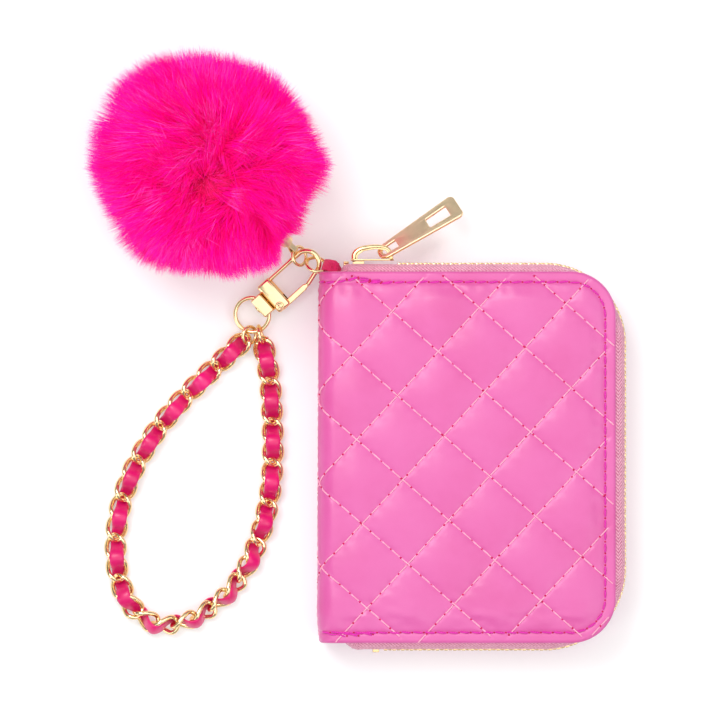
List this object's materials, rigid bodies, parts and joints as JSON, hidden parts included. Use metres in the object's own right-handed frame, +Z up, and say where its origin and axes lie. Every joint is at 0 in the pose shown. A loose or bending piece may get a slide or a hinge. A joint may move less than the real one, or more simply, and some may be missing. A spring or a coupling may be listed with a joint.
{
  "type": "wristlet keychain",
  "caption": "Quilted zip-round card wallet with tab ring, swivel clasp, key ring, woven chain wrist strap and fur pom-pom charm, lying flat.",
  "frame": {"origin": "centre of the whole set's footprint, on the surface it lies on", "axes": "+Z up from the surface through the wallet's front cover, +Y from the wallet's bottom edge towards its zip and tab, +X away from the spine"},
  "size_m": [0.159, 0.181, 0.068],
  "materials": {
    "quilted_leather": "quilted soft-touch faux leather",
    "foam": "soft",
    "board": "plain board",
    "lining": "satin lining",
    "card_slot": "thin faux leather",
    "zip_tape": "herringbone tape",
    "gold": "bright light gold plating",
    "tab": "ribbed tape",
    "steel": "spring steel",
    "cord": "elastic",
    "fur": "long faux fur",
    "stuffing": "soft filling",
    "ribbon": "thin faux leather ribbon"
  },
  "bodies": {
    "wallet_back": {"back_cover_leather": "quilted_leather", "back_foam_padding": "foam", "back_stiffener_board": "board", "back_lining": "lining", "back_card_slots": "card_slot", "coin_pocket": "lining", "back_zip_tape": "zip_tape", "back_zip_teeth": "gold", "back_zip_top_stop": "gold", "zip_end_stop": "gold", "tab_loop": "tab"},
    "wallet_front": {"front_cover_leather": "quilted_leather", "front_foam_padding": "foam", "front_stiffener_board": "board", "front_lining": "lining", "front_card_slots": "card_slot", "front_zip_tape": "zip_tape", "front_zip_teeth": "gold", "front_zip_top_stop": "gold"},
    "zip_slider": {"zip_slider": "gold"},
    "zip_pull": {"zip_pull": "gold"},
    "tab_ring": {"tab_ring": "gold"},
    "clasp": {"clasp_frame": "gold", "gate_rivet": "gold", "gate_spring": "steel"},
    "gate": {"clasp_gate": "gold"},
    "swivel": {"swivel_bracket": "gold", "swivel_pin": "gold"},
    "key_ring": {"key_ring": "gold"},
    "pom_ring": {"pom_ring": "gold"},
    "pom": {"pom_bail": "gold", "pom_cap": "gold", "pom_cord": "cord", "pom_core": "stuffing", "pom_fur": "fur"},
    "strap_1": {"strap_jump_ring_left": "gold", "strap_jump_ring_right": "gold", "strap_links_1": "gold", "strap_ribbon_1": "ribbon"},
    "strap_2": {"strap_links_2": "gold", "strap_ribbon_2": "ribbon"},
    "strap_3": {"strap_links_3": "gold", "strap_ribbon_3": "ribbon"},
    "strap_4": {"strap_links_4": "gold", "strap_ribbon_4": "ribbon"}
  },
  "joints": [
    {"name": "cover_hinge", "type": "hinge", "parent": "wallet_back", "child": "wallet_front", "pos_m": [-0.01342, -0.03002, 0.011], "axis": [0, -1, 0], "range_deg": [0, 75]},
    {"name": "zip_travel", "type": "slide", "parent": "wallet_back", "child": "zip_slider", "axis": [1, 0, 0], "range_m": [0, 0.044]},
    {"name": "pull_hinge", "type": "hinge", "parent": "zip_slider", "child": "zip_pull", "pos_m": [0.00522, 0.02898, 0.011], "axis": [0, 0, 1], "range_deg": [-3, 90]},
    {"name": "tab_ring_hinge", "type": "hinge", "parent": "wallet_back", "child": "tab_ring", "pos_m": [-0.01121, 0.02454, 0.0088], "axis": [0.3949, 0.5621, -0.7267], "range_deg": [-12, 12]},
    {"name": "clasp_hinge", "type": "hinge", "parent": "tab_ring", "child": "clasp", "pos_m": [-0.01324, 0.02606, 0.00785], "axis": [-0.0428, -0.9862, -0.1597], "range_deg": [-12, 25]},
    {"name": "gate_hinge", "type": "hinge", "parent": "clasp", "child": "gate", "pos_m": [-0.02481, 0.01374, 0.00396], "axis": [-0.1672, -0.1505, 0.9744], "range_deg": [0, 25], "stiffness_Nm_per_rad": 0.002, "springref_deg": -11.46},
    {"name": "swivel_spin", "type": "hinge", "parent": "clasp", "child": "swivel", "pos_m": [-0.02852, 0.01524, 0.00356], "axis": [0.7241, 0.652, 0.225], "continuous": true},
    {"name": "key_ring_hinge", "type": "hinge", "parent": "swivel", "child": "key_ring", "pos_m": [-0.0303, 0.01364, 0.00465], "axis": [-0.6691, 0.7431, 0], "range_deg": [-12, 30]},
    {"name": "strap_hinge", "type": "hinge", "parent": "key_ring", "child": "strap_1", "pos_m": [-0.03405, 0.0058, 0.0025], "axis": [0.9713, 0.1068, 0.2126], "range_deg": [-8, 25]},
    {"name": "pom_ring_hinge", "type": "hinge", "parent": "clasp", "child": "pom_ring", "pos_m": [-0.01975, 0.02893, 0.00718], "axis": [0.7241, 0.652, 0.225], "range_deg": [-15, 15]},
    {"name": "pom_hinge", "type": "hinge", "parent": "pom_ring", "child": "pom", "pos_m": [-0.02089, 0.03028, 0.00811], "axis": [-0.3968, -0.7657, 0.5062], "range_deg": [-20, 20]},
    {"name": "strap_fold_1", "type": "hinge", "parent": "strap_1", "child": "strap_2", "pos_m": [-0.05302, -0.0131, 0.003], "axis": [0.9864, 0.1644, 0], "range_deg": [-12, 40]},
    {"name": "strap_fold_2", "type": "hinge", "parent": "strap_2", "child": "strap_3", "pos_m": [-0.06767, -0.03269, 0.003], "axis": [0.9998, -0.0188, 0], "range_deg": [-12, 40]},
    {"name": "strap_fold_3", "type": "hinge", "parent": "strap_3", "child": "strap_4", "pos_m": [-0.07452, -0.05606, 0.003], "axis": [0.9995, -0.0326, 0], "range_deg": [-12, 40]}
  ]
}
